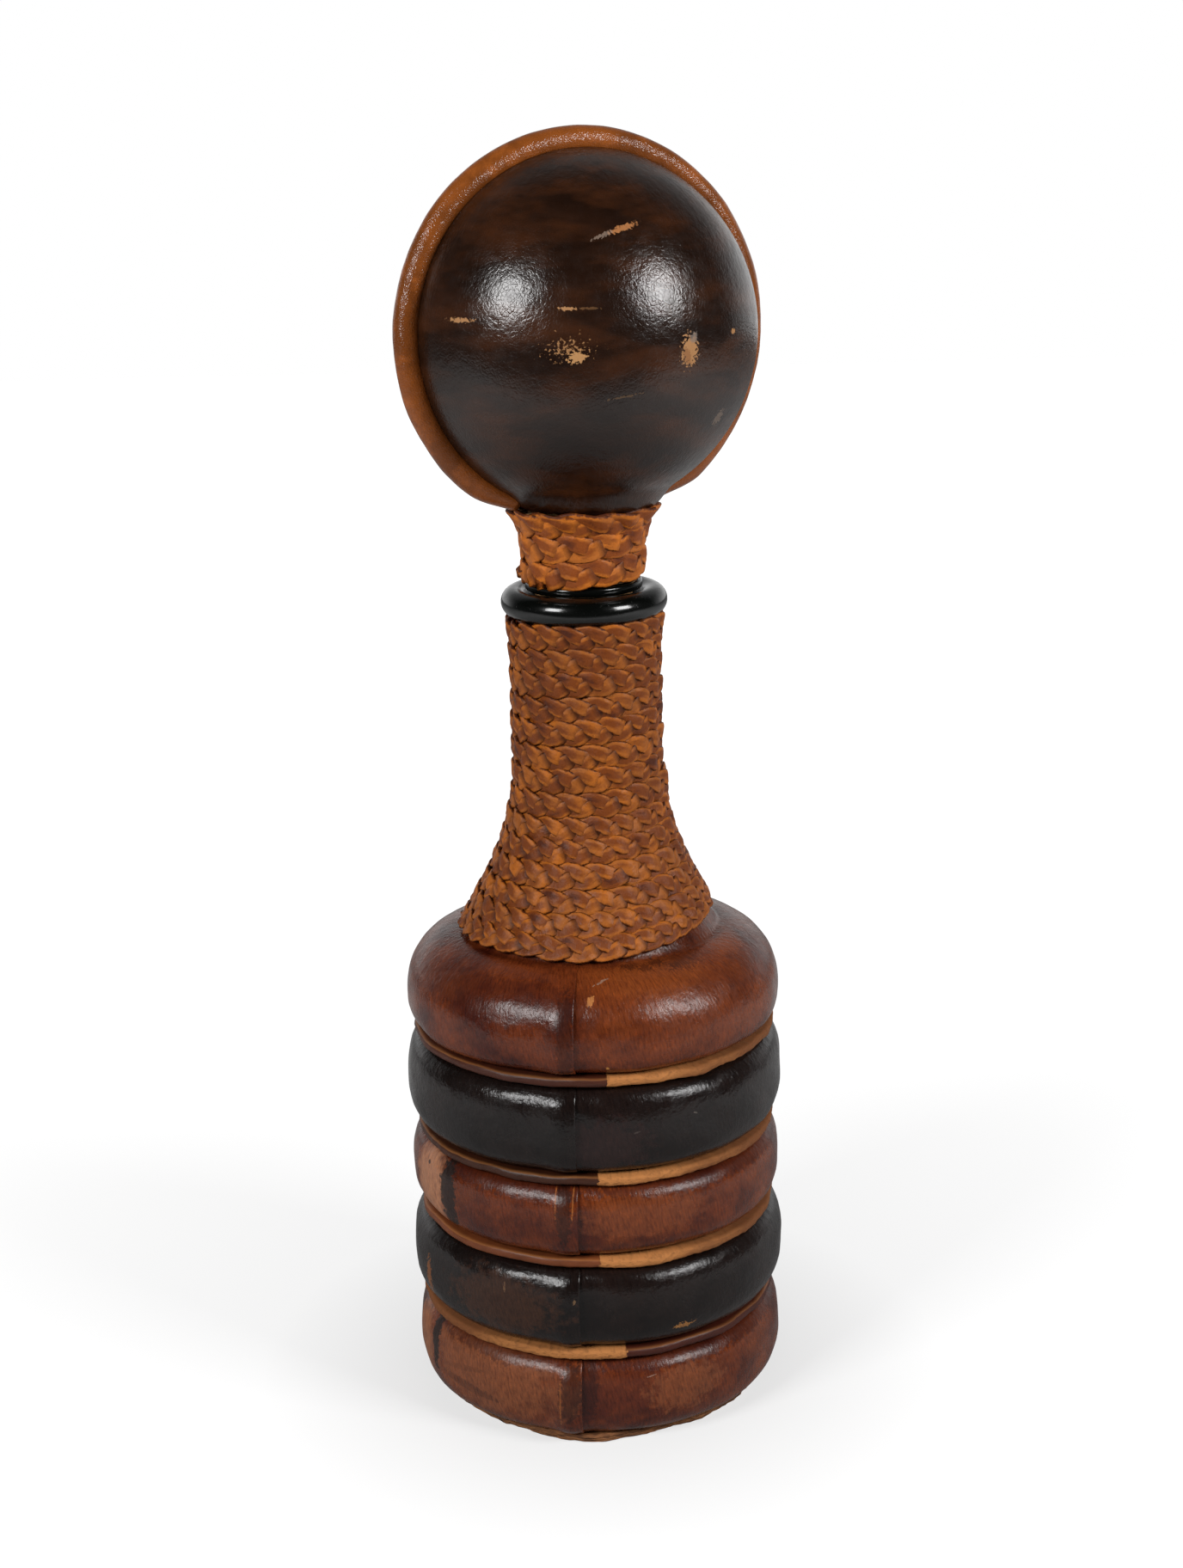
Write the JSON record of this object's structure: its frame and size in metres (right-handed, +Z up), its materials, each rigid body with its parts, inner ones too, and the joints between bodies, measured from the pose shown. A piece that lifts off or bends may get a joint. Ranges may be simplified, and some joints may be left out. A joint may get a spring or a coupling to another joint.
{
  "type": "leather-wrapped decanter",
  "caption": "Glass decanter wrapped in padded leather bands, with a braided leather neck and a large leather-covered ball stopper that lifts out and turns.",
  "frame": {"origin": "centre of the sole's underside, on the surface that the decanter stands on", "axes": "+Z up along the bottle's axis, -Y toward the front, where the bands' seams lie a little left of centre, +X to the right"},
  "size_m": [0.115, 0.115, 0.3843],
  "materials": {
    "sole_leather": "raw, fibrous",
    "fibre_board": "matte",
    "brown_leather": "waxed, glossy",
    "black_leather": "waxed, glossy",
    "dark_leather": "polished, glossy",
    "braid_leather": "satin",
    "piping_leather": "satin",
    "welt_leather": "satin, cut edge",
    "padding_felt": "matte",
    "filler_cord": "matte",
    "cork": "matte",
    "beech_wood": "matte",
    "dark_glass": "glossy"
  },
  "bodies": {
    "bottle": {"base_sole": "sole_leather", "base_board": "fibre_board", "band_cover_5": "brown_leather", "band_cover_4": "black_leather", "band_cover_3": "brown_leather", "band_cover_2": "black_leather", "shoulder_cover": "brown_leather", "band_pad_5": "padding_felt", "band_pad_4": "padding_felt", "band_pad_3": "padding_felt", "band_pad_2": "padding_felt", "shoulder_pad": "padding_felt", "welt_1": "welt_leather", "welt_2": "welt_leather", "welt_3": "welt_leather", "welt_4": "welt_leather", "glass_bottle": "dark_glass", "neck_liner": "brown_leather", "neck_braid": "braid_leather"},
    "cork": {"cork_sleeve": "cork", "stopper_collar": "dark_glass"},
    "stopper": {"stem_core": "beech_wood", "stem_braid": "braid_leather", "ball_core": "beech_wood", "front_dome": "dark_leather", "back_dome": "dark_leather", "rim_piping": "piping_leather", "rim_cord": "filler_cord"}
  },
  "joints": [
    {"name": "stopper_lift", "type": "slide", "parent": "bottle", "child": "cork", "axis": [0, 0, 1], "range_m": [0, 0.035]},
    {"name": "stopper_turn", "type": "hinge", "parent": "cork", "child": "stopper", "pos_m": [0, 0, 0.2556], "axis": [0, 0, 1], "continuous": true}
  ]
}
